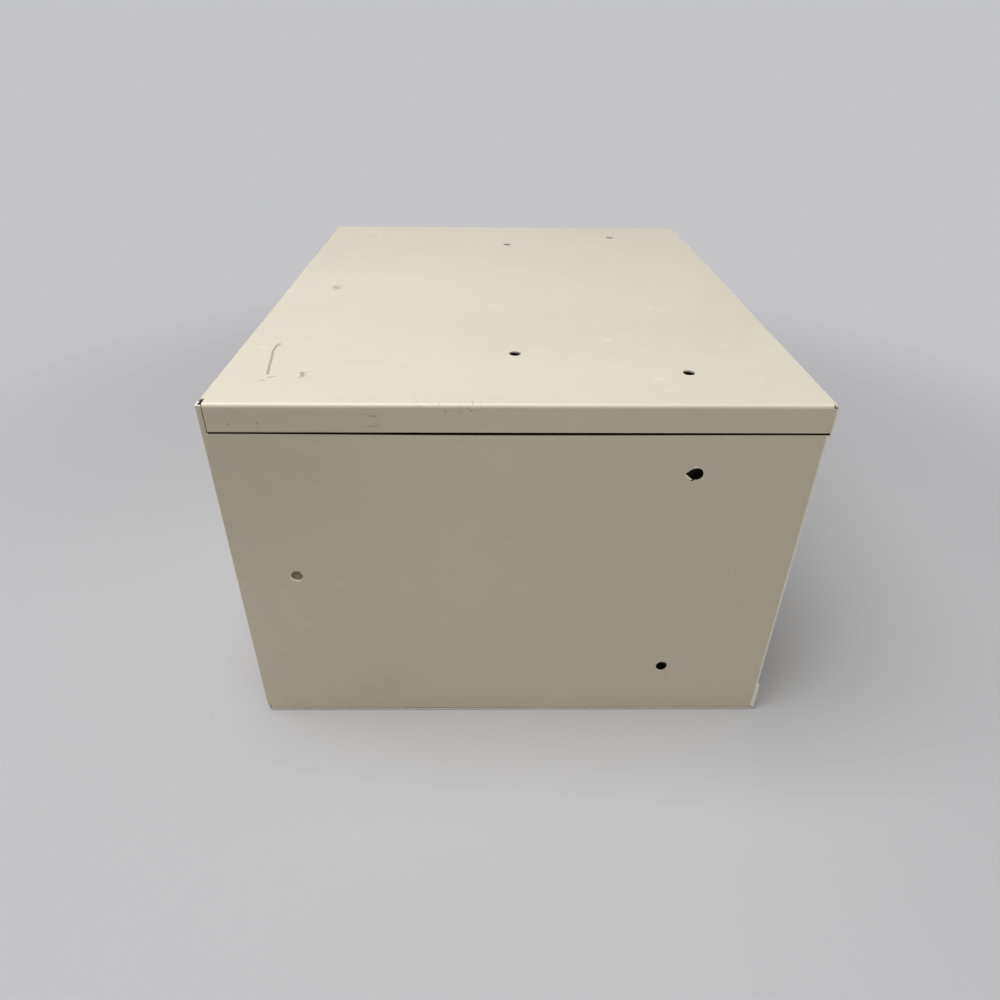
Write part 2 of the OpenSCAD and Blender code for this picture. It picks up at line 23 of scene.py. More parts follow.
# a material whose patterns are written in millimetres of the cabinet's own frame
class Finish:
    dotRim = (0.06, -0.02)  # soft rim of a speck, in shares of its cell
    pickRim = 0.001

    def __init__(self, name, colour, roughness=0.5, metallic=0.0):
        self.material = bpy.data.materials.new(name)
        self.material.use_nodes = True
        self.tree = self.material.node_tree
        self.shader = self.tree.nodes["Principled BSDF"]
        self.colour, self.roughness, self.metallic = colour, roughness, metallic
        self.specular, self.bump = 0.5, None
        self.at = self.scaled(self.add("ShaderNodeTexCoord").outputs["Object"], mmPerMetre)
        self.x, self.y, self.z = self.add("ShaderNodeSeparateXYZ", {0: self.at}).outputs

    def add(self, kind, inputs=None, **settings):
        made = self.tree.nodes.new(kind)
        for key, value in settings.items():
            setattr(made, key, value)
        for key, value in (inputs or {}).items():
            if isinstance(value, bpy.types.NodeSocket):
                self.tree.links.new(value, made.inputs[key])
            else:
                made.inputs[key].default_value = value
        return made

    def sum(self, operation, a, b=0.0):
        return self.add("ShaderNodeMath", {0: a, 1: b}, operation=operation).outputs[0]

    def both(self, *masks):  # where every mask is on
        total = masks[0]
        for mask in masks[1:]:
            total = self.sum("MULTIPLY", total, mask)
        return total

    def either(self, *masks):  # where any mask is on
        total = masks[0]
        for mask in masks[1:]:
            total = self.sum("MAXIMUM", total, mask)
        return total

    def off(self, mask):  # where the mask isn't on
        return self.sum("SUBTRACT", 1.0, mask)

    def step(self, value, start, end, low=0.0, high=1.0):  # smooth rise from start to end
        return self.add(
            "ShaderNodeMapRange",
            {"Value": value, "From Min": start, "From Max": end, "To Min": low, "To Max": high},
            interpolation_type="SMOOTHSTEP",
        ).outputs["Result"]

    def band(self, value, low, high, soft):  # on between low and high
        return self.both(
            self.step(value, low - soft, low + soft), self.step(value, high + soft, high - soft)
        )

    def vec(self, operation, a, b=(0.0, 0.0, 0.0)):
        made = self.add("ShaderNodeVectorMath", {0: a, 1: b}, operation=operation)
        single = operation in ("DOT_PRODUCT", "LENGTH", "DISTANCE")
        return made.outputs["Value" if single else "Vector"]

    def scaled(self, a, by):
        return self.add("ShaderNodeVectorMath", {0: a, "Scale": by}, operation="SCALE").outputs[0]

    def point(self, x=0.0, y=0.0, z=0.0):
        return self.add("ShaderNodeCombineXYZ", {0: x, 1: y, 2: z}).outputs[0]

    def noise(self, size, detail=2.0, rough=0.5, output="Fac"):  # size in mm, a number or x, y, z
        place = self.at
        if isinstance(size, tuple):
            place = self.vec("DIVIDE", place, size)
            size = 1.0
        return self.add(
            "ShaderNodeTexNoise",
            {"Vector": place, "Scale": 1.0 / size, "Detail": detail, "Roughness": rough},
        ).outputs[output]

    def mottle(self, size, spread, detail=2.0, rough=0.5, strength=1.0):  # a noise cut into patches
        return self.both(self.step(self.noise(size, detail, rough), *spread), strength)

    def shaken(self, size, amount):  # the place, pushed about by a noise
        push = self.vec("SUBTRACT", self.noise(size, output="Color"), (0.5, 0.5, 0.5))
        return self.vec("ADD", self.at, self.scaled(push, 2.0 * amount))

    def specks(self, cell, radius, share, stretch=None, strength=1.0):  # round dots in a share of the cells
        place = self.vec("DIVIDE", self.at, stretch) if stretch else self.at
        made = self.add("ShaderNodeTexVoronoi", {"Vector": place, "Scale": 1.0 / cell})
        pick = self.add("ShaderNodeSeparateXYZ", {0: made.outputs["Color"]}).outputs
        reach = self.sum("MULTIPLY", pick[1], radius / cell)
        dot = self.step(self.sum("SUBTRACT", made.outputs["Distance"], reach), *self.dotRim)
        chosen = self.step(pick[0], 1.0 - share, 1.0 - share + self.pickRim)
        return self.both(dot, chosen, strength)

    def blot(self, at, centre, reach, soft):  # a soft ellipsoid
        far = self.vec("LENGTH", self.vec("DIVIDE", self.vec("SUBTRACT", at, centre), reach))
        return self.step(far, 1.0, 1.0 - soft)

    def stroke(self, at, points, width, soft=0.5):  # a line drawn through the points
        reach = None
        for start, end in zip(points, points[1:]):
            run = tuple(b - a for a, b in zip(start, end))
            length = sum(v * v for v in run)
            off = self.vec("SUBTRACT", at, start)
            along = self.sum("DIVIDE", self.vec("DOT_PRODUCT", off, run), length)
            along = self.add("ShaderNodeClamp", {"Value": along}).outputs[0]
            far = self.vec("DISTANCE", off, self.scaled(run, along))
            reach = far if reach is None else self.sum("MINIMUM", reach, far)
        return self.step(reach, width * (1.0 + soft), width * (1.0 - soft))

    def mix(self, mask, a, b):
        made = self.add("ShaderNodeMix", {0: mask}, data_type="RGBA")
        for socket, value in ((made.inputs[6], a), (made.inputs[7], b)):
            if isinstance(value, bpy.types.NodeSocket):
                self.tree.links.new(value, socket)
            else:
                socket.default_value = (*value, 1.0)
        return made.outputs[2]

    def blend(self, mask, a, b):
        return self.add("ShaderNodeMix", {0: mask, 2: a, 3: b}).outputs[0]

    def layer(self, mask, colour=None, roughness=None, metallic=None, specular=None):
        if colour is not None:
            self.colour = self.mix(mask, self.colour, colour)
        if roughness is not None:
            self.roughness = self.blend(mask, self.roughness, roughness)
        if metallic is not None:
            self.metallic = self.blend(mask, self.metallic, metallic)
        if specular is not None:
            self.specular = self.blend(mask, self.specular, specular)

    def relief(self, height, depth):  # relief of so many millimetres
        made = self.add("ShaderNodeBump", {"Height": height, "Distance": depth / mmPerMetre})
        if self.bump:
            self.tree.links.new(self.bump, made.inputs["Normal"])
        self.bump = made.outputs[0]

    def close(self):
        for name, value in (
            ("Base Color", self.colour), ("Roughness", self.roughness),
            ("Metallic", self.metallic), ("Specular IOR Level", self.specular), ("Normal", self.bump),
        ):
            if isinstance(value, bpy.types.NodeSocket):
                self.tree.links.new(value, self.shader.inputs[name])
            elif isinstance(value, float):
                self.shader.inputs[name].default_value = value
        return self.material


def coat(material, *names):
    for name in names:
        slots = nodes[name].data.materials
        slots.clear()
        slots.append(material)


# camera: the photograph's place, lens and tilt
cameraSet = {
    "place": (-0.4965, 0.0122, 0.3555),
    "lens": 25.86,
    "sensor": 36.0,
    "clipStart": 0.01,
    "lookDown": 32.81,
    "heading": -90.72,
    "roll": 0.46,
}


def setCamera(look):
    lens = bpy.data.cameras.new("photoCamera")
    lens.lens, lens.sensor_width = look["lens"], look["sensor"]
    lens.clip_start = look["clipStart"]
    camera = bpy.data.objects.new("photoCamera", lens)
    bpy.context.scene.collection.objects.link(camera)
    turn = Euler((radians(90 - look["lookDown"]), 0, radians(look["heading"]))).to_matrix()
    turn = turn @ Matrix.Rotation(radians(look["roll"]), 3, "Z")
    camera.matrix_world = Matrix.Translation(look["place"]) @ turn.to_4x4()
    bpy.context.scene.camera = camera


# studio: pale floor, soft light from above, a little more of it on the sides and the front
studioSet = {
    "floorSize": 30.0,
    "floorDrop": 0.0004,
    "floorSeen": (0.56, 0.56, 0.575),
    "floorBounce": (0.48, 0.445, 0.375),
    "floorRough": 0.9,
    "floorShine": 0.1,
    "fade": (250.0, 850.0),  # mm from the middle, where the floor turns into the backdrop
    "skyLight": (0.105, 0.104, 0.102),
    "lamps": (
        {
            "name": "overheadLamp", "size": 1.2, "watts": 21.3,
            "place": (-0.35, 0.36, 1.42), "aim": (-0.3, 0.1, 0.0),
        },
        {
            "name": "sideLamp", "size": 0.8, "watts": 2.9,
            "place": (-1.0, -1.35, 0.16), "aim": (-0.19, -0.1, 0.06),
        },
        {
            "name": "frontLamp", "size": 1.0, "watts": 6.0,
            "place": (0.2, -2.1, 0.5), "aim": (0.0, -0.15, 0.1),
        },
        {
            "name": "rightLamp", "size": 0.8, "watts": 3.0,
            "place": (0.95, -1.5, 0.2), "aim": (0.19, -0.1, 0.08),
        },
    ),
}


def seenRay(tree):  # 1 for rays that show the background itself
    path = tree.nodes.new("ShaderNodeLightPath")
    total = path.outputs["Is Camera Ray"]
    for other in ("Is Glossy Ray", "Is Transmission Ray"):
        either = tree.nodes.new("ShaderNodeMath")
        either.operation = "MAXIMUM"
        tree.links.new(total, either.inputs[0])
        tree.links.new(path.outputs[other], either.inputs[1])
        total = either.outputs[0]
    return total


def layFloor(look):
    bpy.ops.mesh.primitive_plane_add(size=look["floorSize"], location=(0, 0, -look["floorDrop"]))
    floor = bpy.context.object
    floor.name = "paleFloor"
    f = Finish("paleFloor", look["floorBounce"], look["floorRough"])
    f.specular = look["floorShine"]
    seen = seenRay(f.tree)
    f.layer(seen, look["floorSeen"])
    floor.data.materials.append(f.close())
    # far out the floor turns into the backdrop's even tone
    fade = f.both(seen, f.step(f.vec("LENGTH", f.at), *look["fade"]))
    glow = f.add("ShaderNodeEmission", {"Color": (*look["floorSeen"], 1.0)})
    shown = f.add("ShaderNodeMixShader", {0: fade, 1: f.shader.outputs[0], 2: glow.outputs[0]})
    f.tree.links.new(shown.outputs[0], f.tree.nodes["Material Output"].inputs["Surface"])


def lightStudio(look):
    world = bpy.data.worlds.new("studioSky")
    bpy.context.scene.world = world
    world.use_nodes = True
    tree = world.node_tree
    tone = tree.nodes.new("ShaderNodeMix")
    tone.data_type = "RGBA"
    tree.links.new(seenRay(tree), tone.inputs[0])
    tone.inputs[6].default_value = (*look["skyLight"], 1)
    tone.inputs[7].default_value = (*look["floorSeen"], 1)
    tree.links.new(tone.outputs[2], tree.nodes["Background"].inputs["Color"])
    for lamp in look["lamps"]:
        light = bpy.data.lights.new(lamp["name"], "AREA")
        light.size, light.energy = lamp["size"], lamp["watts"]
        holder = bpy.data.objects.new(lamp["name"], light)
        holder.location = lamp["place"]
        aim = Vector(lamp["aim"]) - holder.location
        holder.rotation_euler = aim.to_track_quat("-Z", "Y").to_euler()
        bpy.context.scene.collection.objects.link(holder)
    bpy.context.scene.view_settings.view_transform = "Standard"


setCamera(cameraSet)
layFloor(studioSet)
lightStudio(studioSet)
print("camera, floor and light set")


# roughness of worn places
wearShine = {
    "rubbed": 0.35,
    "smooth": 0.4,
    "slid": 0.45,
    "cut": 0.5,
    "handled": 0.6,
    "dusty": 0.7,
    "scraped": 0.75,
    "sooty": 0.8,
    "dead": 0.9,
}

# the beige paint that every sheet of the case and the trays carries
paintSet = {
    "beige": (0.715, 0.657, 0.545),
    "deeper": (0.685, 0.624, 0.508),
    "paler": (0.735, 0.680, 0.572),
    "dust": (0.36, 0.31, 0.24),
    "bareSteel": (0.42, 0.41, 0.39),
    # dark tone of grime, also used as painted shade
    "grimeAndShade": (0.16, 0.13, 0.09),
    # pale tone of worn paint, also a painted highlight on the top's folds
    "paleWearAndHighlight": (0.83, 0.78, 0.68),
    # near-white tone, a painted highlight on edges, folds and hole walls
    "edge": (0.96, 0.94, 0.89),
    "insideShade": (0.10, 0.088, 0.068),
    "drift": {"size": 120.0, "detail": 3.0, "spread": (0.35, 0.7)},
    "cloud": {"size": 14.0, "detail": 4.0, "rough": 0.6, "spread": (0.48, 0.75), "strength": 0.4},
    "shine": {"size": 22.0, "detail": 5.0, "rough": 0.65, "spread": (0.3, 0.7, 0.40, 0.54)},
    "wave": {"size": 70.0, "detail": 1.0},
    "waveDepth": 0.25,
    "peel": {"size": 1.5, "detail": 2.0, "rough": 0.55},
    "peelDepth": 0.035,
    "peelSpread": (0.45, 0.75),
    "peelStrength": 0.12,
    "specks": {"cell": 10.0, "radius": 0.8, "share": 0.22, "strength": 0.35},
    "rubs": {"cell": 7.0, "radius": 1.1, "share": 0.3, "strength": 0.35, "stretch": (2.0, 2.5, 1.0)},
    "shadeBack": (0.0, 150.0),
    "shadeRise": (70.0, 205.0),
    "shadeEnd": (208.5, 207.0),
    "shadeStrength": 0.15,
}


def beigePaint(name):
    look = paintSet
    f = Finish(name, look["beige"])
    f.layer(f.mottle(**look["drift"]), look["deeper"])  # slow drift of tone over a sheet
    f.layer(f.mottle(**look["cloud"]), look["paler"])
    f.roughness = f.mottle(**look["shine"])
    peel = f.noise(**look["peel"])  # orange peel
    f.relief(f.noise(**look["wave"]), look["waveDepth"])
    f.relief(peel, look["peelDepth"])
    f.layer(f.both(f.step(peel, *look["peelSpread"]), look["peelStrength"]), look["deeper"])
    f.layer(f.specks(**look["specks"]), look["dust"], wearShine["dusty"])
    f.layer(f.specks(**look["rubs"]), look["paleWearAndHighlight"], wearShine["rubbed"])
    backShade = f.both(
        f.step(f.y, *look["shadeBack"]), f.step(f.z, *look["shadeRise"]), f.step(f.z, *look["shadeEnd"])
    )
    f.layer(f.both(backShade, look["shadeStrength"]), look["grimeAndShade"])  # painted shade: the upper back is darker
    return f


# a soft dark blot: grime in some places, painted shade in others
def darkBlotAt(f, at, centre, reach, soft, strength, shine="dusty", pattern=1.0):
    mask = f.both(f.blot(at, centre, reach, soft), pattern, strength)
    f.layer(mask, paintSet["grimeAndShade"], wearShine[shine])


# drilled holes: paint built up on the rim, dust round it
holeSet = {
    "radius": 3.2,
    "ragged": {"size": 1.3, "detail": 3.0, "spread": (0.2, 0.8, 0.3, -0.3)},
    "rim": (3.9, 3.4),
    "rimStrength": 0.35,
    "stainReach": 5.7,
    "stain": {"size": 1.8, "detail": 3.0, "spread": (0.5, 0.75), "strength": 0.25},
}


def holeWear(f, far):
    look = holeSet
    ragged = f.sum("ADD", far, f.mottle(**look["ragged"]))
    rim = f.both(f.step(ragged, *look["rim"]), look["rimStrength"])
    f.layer(rim, paintSet["paleWearAndHighlight"], wearShine["smooth"])
    stain = f.both(f.step(far, look["stainReach"], look["radius"]), f.mottle(**look["stain"]))
    f.layer(stain, paintSet["grimeAndShade"], wearShine["dusty"])


# top panel: scratches and rubs where the photograph has them, in mm
topSet = {
    "top": 210.0,
    "side": 188.0,
    "front": -152.5,
    "fold": (2.2, 1.2),
    "foldHeight": (209.0, 209.6),
    "foldHighlightStrength": 0.6,
    "shake": {"size": 2.5, "amount": 0.35},
    "drag": {"size": 1.2, "detail": 3.0, "spread": (0.22, 0.5, 0.55, 1.0)},
    "scratchTone": (0.30, 0.265, 0.20),
    "scratchStrength": 0.8,
    "marks": (
        {  # long scratch
            "points": (
                (-109.8, 132.0), (-112.9, 132.4), (-116.8, 132.6), (-121.2, 132.3),
                (-129.2, 130.9), (-139.0, 129.3), (-152.3, 127.1),
            ),
            "width": 0.7, "soft": 0.6,
        },
        {"points": ((-109.8, 131.6), (-112.4, 132.3)), "width": 1.0, "soft": 0.6},  # its head
        {"points": ((-156.7, 125.6), (-155.1, 122.9)), "width": 0.4, "soft": 0.7},  # dashes beside it
        {"points": ((-156.8, 125.5), (-156.2, 124.8)), "width": 0.6, "soft": 0.6},
        {"points": ((-160.0, 129.2), (-160.5, 126.7)), "width": 0.4, "soft": 0.7},
        {"points": ((-150.4, 110.1), (-152.6, 109.4), (-154.8, 108.6)), "width": 1.0, "soft": 0.6},  # nick
        {"points": ((-154.9, 108.7), (-156.9, 110.2)), "width": 0.4, "soft": 0.7},
        {"points": ((-151.0, 109.2), (-150.1, 107.6)), "width": 0.4, "soft": 0.7},
    ),
    "hairline": {"points": ((-150.2, 107.6), (-148.5, 105.4), (-148.9, 103.7)), "width": 0.3, "soft": 0.7},
    "hairlineStrength": 0.35,
    "edgeDots": {"cell": 2.0, "radius": 0.5, "share": 0.6},
    "edgeSpecks": {
        "centre": (-184.0, 24.0, 210.0), "reach": (7.0, 52.0, 4.0),
        "soft": 0.8, "strength": 0.55, "shine": "sooty",
    },
    "foldDots": {"cell": 1.5, "radius": 0.5, "share": 0.7},
    "foldSpecks": {
        "centre": (-188.0, 35.0, 207.3), "reach": (3.0, 24.0, 3.8),
        "soft": 0.8, "strength": 0.65, "shine": "sooty",
    },
    "smear": {"size": (2.5, 6.0, 2.5), "detail": 3.0, "spread": (0.42, 0.68)},
    "farSmudge": {"centre": (150.2, 116.7, 210.0), "reach": (8.0, 7.0, 2.0), "soft": 0.7, "strength": 0.2},
    "backHoleDust": {"centre": (-1.5, 118.6, 210.0), "reach": (9.0, 5.0, 2.0), "soft": 0.8, "strength": 0.22},
    "streak": {"size": (1.0, 5.0, 0.9), "detail": 4.0, "rough": 0.6, "spread": (0.5, 0.66)},
    "lipSmudges": (
        {"centre": (-188.0, 69.0, 204.4), "reach": (2.0, 7.5, 1.6), "soft": 0.7, "strength": 0.6},
        {"centre": (-188.0, 71.0, 199.3), "reach": (2.0, 6.0, 2.6), "soft": 0.7, "strength": 0.6},
    ),
    "lipDots": (
        {"centre": (-188.0, 138.4, 199.3), "reach": (1.0, 0.6, 0.9), "soft": 0.6, "strength": 0.55},
        {"centre": (-188.0, 124.7, 199.7), "reach": (1.0, 0.6, 0.9), "soft": 0.6, "strength": 0.55},
    ),
    "skin": (0.3, 0.1),
    "railEnd": (1.1, 0.9),
    "crease": {"low": 1.1, "high": 1.35, "soft": 0.15},
    "creaseShadePatches": {"size": 3.0, "detail": 3.0, "spread": (0.35, 0.6, 0.1, 0.35)},
    "core": (0.8, 0.9),
    "underside": (209.2, 209.1),
    "backSkin": (151.7, 151.5),
    "holes": ((-149.0, -89.5), (149.0, -89.5), (-123.0, 0.0), (123.0, 0.0), (0.0, 119.0)),
    "holeWall": (3.26, 3.22),
    "farHalf": (-60.0, 0.0),
}


def paintTop(look):
    f = beigePaint("topPaint")
    shaken = f.shaken(**look["shake"])

    def drawn(points, width, soft):
        return f.stroke(shaken, [(x, y, look["top"]) for x, y in points], width, soft)

    inset = f.sum("SUBTRACT", look["side"], f.sum("ABSOLUTE", f.x))
    inward = f.sum("SUBTRACT", f.y, look["front"])
    foldHighlight = f.either(f.step(inset, *look["fold"]), f.step(inward, *look["fold"]))
    foldHighlight = f.both(foldHighlight, f.step(f.z, *look["foldHeight"]), look["foldHighlightStrength"])
    f.layer(foldHighlight, paintSet["paleWearAndHighlight"], wearShine["rubbed"])  # painted highlight on the folds, which are also rubbed smooth
    toHoles = [f.vec("DISTANCE", f.point(f.x, f.y), (*hole, 0.0)) for hole in look["holes"]]
    for far in toHoles:
        holeWear(f, far)
    drag = f.mottle(**look["drag"])  # uneven pressure along a scratch
    marks = f.either(*[drawn(**mark) for mark in look["marks"]])
    f.layer(f.both(marks, drag, look["scratchStrength"]), look["scratchTone"], wearShine["scraped"])
    hairline = f.both(drawn(**look["hairline"]), drag, look["hairlineStrength"])
    f.layer(hairline, look["scratchTone"], wearShine["dusty"])
    darkBlotAt(f, f.at, **look["edgeSpecks"], pattern=f.specks(**look["edgeDots"]))
    darkBlotAt(f, f.at, **look["foldSpecks"], pattern=f.specks(**look["foldDots"]))
    darkBlotAt(f, f.at, **look["farSmudge"], pattern=f.mottle(**look["smear"]))
    darkBlotAt(f, f.at, **look["backHoleDust"])
    streak = f.mottle(**look["streak"])
    for smudge in look["lipSmudges"]:
        darkBlotAt(f, f.at, **smudge, pattern=streak)
    for dot in look["lipDots"]:
        darkBlotAt(f, shaken, **dot)
    # painted highlight on the rail's cut end beside the lip, and painted shade in patches along the corner
    # between them
    skin = f.step(inset, *look["skin"])
    f.layer(f.both(skin, f.step(inward, *look["railEnd"])), paintSet["edge"], wearShine["cut"])
    crease = f.both(skin, f.band(inward, **look["crease"]), f.mottle(**look["creaseShadePatches"]))
    f.layer(crease, paintSet["grimeAndShade"], wearShine["dusty"])
    # painted shade on the top's underside inside the case
    inside = f.both(
        f.step(f.z, *look["underside"]), f.step(inset, *look["core"]),
        f.step(inward, *look["core"]), f.step(f.y, *look["backSkin"]),
    )
    f.layer(inside, paintSet["insideShade"], wearShine["sooty"])
    for far in toHoles:  # painted highlight on the walls of the holes in the far half
        wall = f.both(f.step(far, *look["holeWall"]), f.step(f.x, *look["farHalf"]))
        f.layer(wall, paintSet["edge"], wearShine["handled"])
    return f.close()


# wrap: the dark open seam under the lips, the holes and the tear, in mm
wrapSet = {
    "side": 188.0,
    "front": -151.5,
    "back": 152.5,
    "fold": (1.3, 0.7),
    "foldDepth": (1.9, 1.2),
    "foldHighlightPatches": {"size": (6.0, 6.0, 9.0), "detail": 3.0, "spread": (0.2, 0.6, 0.75, 1.0)},
    "footFold": (2.8, 1.6),
    "footStrength": 0.45,
    "core": (0.7, 0.85),
    "cornerX": (182.4, 182.6),
    "cornerY": (149.45, 149.55),
    "cornerTopHighlight": (208.6, 208.9),
    "cornerTopStrength": 0.5,
    "pocketShade": (0.36, 0.30, 0.205),
    "pocketDepth": (208.0, 203.0),
    "nearFootZ": (9.0, 7.0),
    "nearFootY": (120.0, 130.0),
    "seamShadeAndDust": (0.016, 0.010, 0.003),
    "seamPale": (0.055, 0.042, 0.026),
    "seamShine": 0.05,
    "lap": (194.42, 194.52),
    "edgeLine": (194.45, 194.65),
    "edgeEnd": (149.2, 148.9),
    "dipBack": (150.0, 20.0, 0.35, 0.85),
    "dipFront": (0.0, -150.0, 0.0, -0.4),
    "paleBack": (95.0, 150.0),
    "paleFront": (-60.0, -150.0, 0.0, 0.35),
    "holes": ((-89.5, 38.0), (-89.5, 172.3), (119.0, 107.0)),
    "openHoles": 2,  # how many of them have nothing behind
    "holeWall": (3.32, 3.23),
    "holeShade": (0.006, 0.004, 0.002),
    "shake": {"size": 1.2, "amount": 0.15},
    "chipAndHighlightTone": (0.95, 0.92, 0.86),
    "ridgeHighlightStrength": 0.9,
    "ridges": (
        {"points": ((-84.6, 171.6), (-86.2, 169.9), (-87.6, 168.9)), "width": 0.5},  # turned edge of the tear
        {"points": ((-88.3, 176.0), (-90.2, 176.1)), "width": 0.35},
        {"points": ((122.4, 105.7), (121.3, 104.2), (119.6, 103.4), (118.0, 103.5)), "width": 0.5},
    ),
    "tearSides": (
        {"points": ((-87.4, 174.7), (-84.7, 172.3)), "width": 0.2},
        {"points": ((-87.4, 169.9), (-84.7, 172.3)), "width": 0.2},
    ),
    "tearMiddle": (-90.1, 172.2),
    "tearReach": (3.45, 3.25),
    "tearEnds": (
        {"points": ((-87.8, 168.4), (-89.4, 169.2)), "width": 0.4, "soft": 0.4},
        {"points": ((-92.7, 173.6), (-92.9, 171.0)), "width": 0.4, "soft": 0.3},
    ),
    "chips": ((-88.6, 33.9), (-87.5, 34.7)),
    "chipReach": (1.0, 1.0, 0.6),
    "chipSoft": 0.5,
    "scuffs": {"low": 5.0, "high": 9.0, "soft": 3.0},
    "scuffDirt": {"size": (6.0, 6.0, 2.0), "detail": 4.0, "rough": 0.6, "spread": (0.5, 0.7), "strength": 0.1},
}


def paintWrap(look):
    f = beigePaint("wrapPaint")
    wideX = f.sum("ABSOLUTE", f.x)
    inset = f.sum("SUBTRACT", look["side"], wideX)
    inward = f.sum("SUBTRACT", f.y, look["front"])
    fromBack = f.sum("SUBTRACT", look["back"], f.y)
    # painted highlight in patches on the front folds
    fold = f.both(f.step(inset, *look["fold"]), f.step(inward, *look["foldDepth"]))
    f.layer(f.both(fold, f.mottle(**look["foldHighlightPatches"])), paintSet["edge"], wearShine["smooth"])
    footFold = f.both(f.step(f.z, *look["footFold"]), look["footStrength"])
    f.layer(footFold, paintSet["edge"], wearShine["cut"])  # painted highlight on the fold along the foot, lightening the shaded groove
    toHoles = [f.vec("DISTANCE", f.point(0.0, f.y, f.z), (0.0, *hole)) for hole in look["holes"]]
    for far in toHoles:
        holeWear(f, far)
    # painted shade on the faces inside the case
    insideShade = f.both(*[f.step(deep, *look["core"]) for deep in (inset, fromBack, inward)])
    inCorner = f.both(f.step(wideX, *look["cornerX"]), f.step(f.y, *look["cornerY"]))
    nearFoot = f.both(f.step(f.z, *look["nearFootZ"]), f.step(f.y, *look["nearFootY"]))
    dark = f.both(insideShade, f.off(inCorner), f.off(nearFoot))
    f.layer(dark, paintSet["insideShade"], wearShine["sooty"])
    # painted shade in the corner pocket, browner the deeper it goes
    pocketShade = f.both(insideShade, inCorner, f.step(f.z, *look["pocketDepth"]))
    f.layer(pocketShade, look["pocketShade"], wearShine["sooty"])
    # painted highlight on the top of the corner strip
    cornerTopHighlight = f.both(inCorner, f.step(f.z, *look["cornerTopHighlight"]), look["cornerTopStrength"])
    f.layer(cornerTopHighlight, paintSet["edge"], wearShine["cut"])
    lap = f.both(f.step(f.z, *look["lap"]), f.off(inCorner))
    # painted shade, with dust, in the open seam: on the lap behind the lips and along the wall's upper edge,
    # which dips by a millimetre towards the middle of its run
    dip = f.sum("ADD", f.step(f.y, *look["dipBack"]), f.step(f.y, *look["dipFront"]))
    edge = f.step(f.sum("ADD", f.z, dip), *look["edgeLine"])
    edge = f.both(edge, f.step(f.y, *look["edgeEnd"]))
    fade = f.either(f.step(f.y, *look["paleBack"]), f.step(f.y, *look["paleFront"]))
    seamShadeAndDust = f.mix(fade, look["seamShadeAndDust"], look["seamPale"])
    f.layer(f.either(lap, edge), seamShadeAndDust, wearShine["dead"], specular=look["seamShine"])
    shaken = f.shaken(**look["shake"])

    def drawn(at, points, width, soft=0.5):
        return f.stroke(at, [(-look["side"], y, z) for y, z in points], width, soft)

    # painted shade on the walls of the open holes
    for far in toHoles[:look["openHoles"]]:
        f.layer(f.step(far, *look["holeWall"]), look["holeShade"], wearShine["dead"], specular=0.0)
    # painted highlight along the turned edge of the tear and the lower rim of the backed hole
    for ridge in look["ridges"]:
        mask = f.both(drawn(shaken, **ridge), look["ridgeHighlightStrength"])
        f.layer(mask, look["chipAndHighlightTone"], wearShine["smooth"])
    # painted shade of the tear: its dark teardrop and the shadow under its turned edge
    bulge = f.vec("MULTIPLY", shaken, (0.0, 1.0, 1.0))
    bulge = f.vec("DISTANCE", bulge, (0.0, *look["tearMiddle"]))
    torn = [f.step(bulge, *look["tearReach"])]
    torn += [drawn(f.at, **line) for line in look["tearSides"]]
    torn += [drawn(shaken, **line) for line in look["tearEnds"]]
    f.layer(f.either(*torn), look["holeShade"], wearShine["dead"], specular=0.0)
    for chip in look["chips"]:
        mask = f.blot(shaken, (-look["side"], *chip), look["chipReach"], look["chipSoft"])
        f.layer(mask, look["chipAndHighlightTone"], wearShine["smooth"])
    scuffs = f.both(f.band(f.z, **look["scuffs"]), f.mottle(**look["scuffDirt"]))  # above the foot
    f.layer(scuffs, paintSet["grimeAndShade"], wearShine["dusty"])
    return f.close()


baseSet = {
    "side": 188.0,
    "under": (0.6, 0.1),
    "rub": {"size": (40.0, 3.0, 10.0), "detail": 4.0, "rough": 0.65, "spread": (0.52, 0.7), "strength": 0.6},
    "rubMetal": 0.5,
    "low": (5.0, 0.0),
    "lowDirt": {"size": 5.0, "detail": 4.0, "spread": (0.5, 0.7), "strength": 0.25},
    "skin": (0.3, 0.1),
    "cutFade": (1.0, 2.5, 0.5, 1.0),
}


def paintBase(look):
    f = beigePaint("basePaint")
    rub = f.both(f.step(f.z, *look["under"]), f.mottle(**look["rub"]))  # rubbed by what it stood on
    f.layer(rub, paintSet["bareSteel"], wearShine["cut"], look["rubMetal"])
    dirt = f.both(f.step(f.z, *look["low"]), f.mottle(**look["lowDirt"]))
    f.layer(dirt, paintSet["grimeAndShade"], wearShine["scraped"])
    inset = f.sum("SUBTRACT", look["side"], f.sum("ABSOLUTE", f.x))
    cutEdge = f.both(f.step(inset, *look["skin"]), f.step(f.z, *look["cutFade"]))
    f.layer(cutEdge, paintSet["edge"], wearShine["cut"], 0.0)  # painted highlight on the cut edges
    return f.close()


insideSet = {
    "side": 188.0,
    "run": {"size": (1.2, 160.0, 40.0), "detail": 3.0, "rough": 0.6, "spread": (0.56, 0.68), "strength": 0.55},
    "runMetal": 0.55,
    "dirt": {"size": 9.0, "detail": 5.0, "rough": 0.65, "spread": (0.5, 0.75), "strength": 0.3},
    "flange": (0.29, 0.245, 0.165),
    "flangeDepth": (3.0, 2.0),
    "topHoleShade": {
        "centre": (0.2, 119.0, 209.0), "reach": (2.6, 3.6, 0.6),
        "soft": 0.5, "strength": 0.9, "shine": "sooty",
    },
}


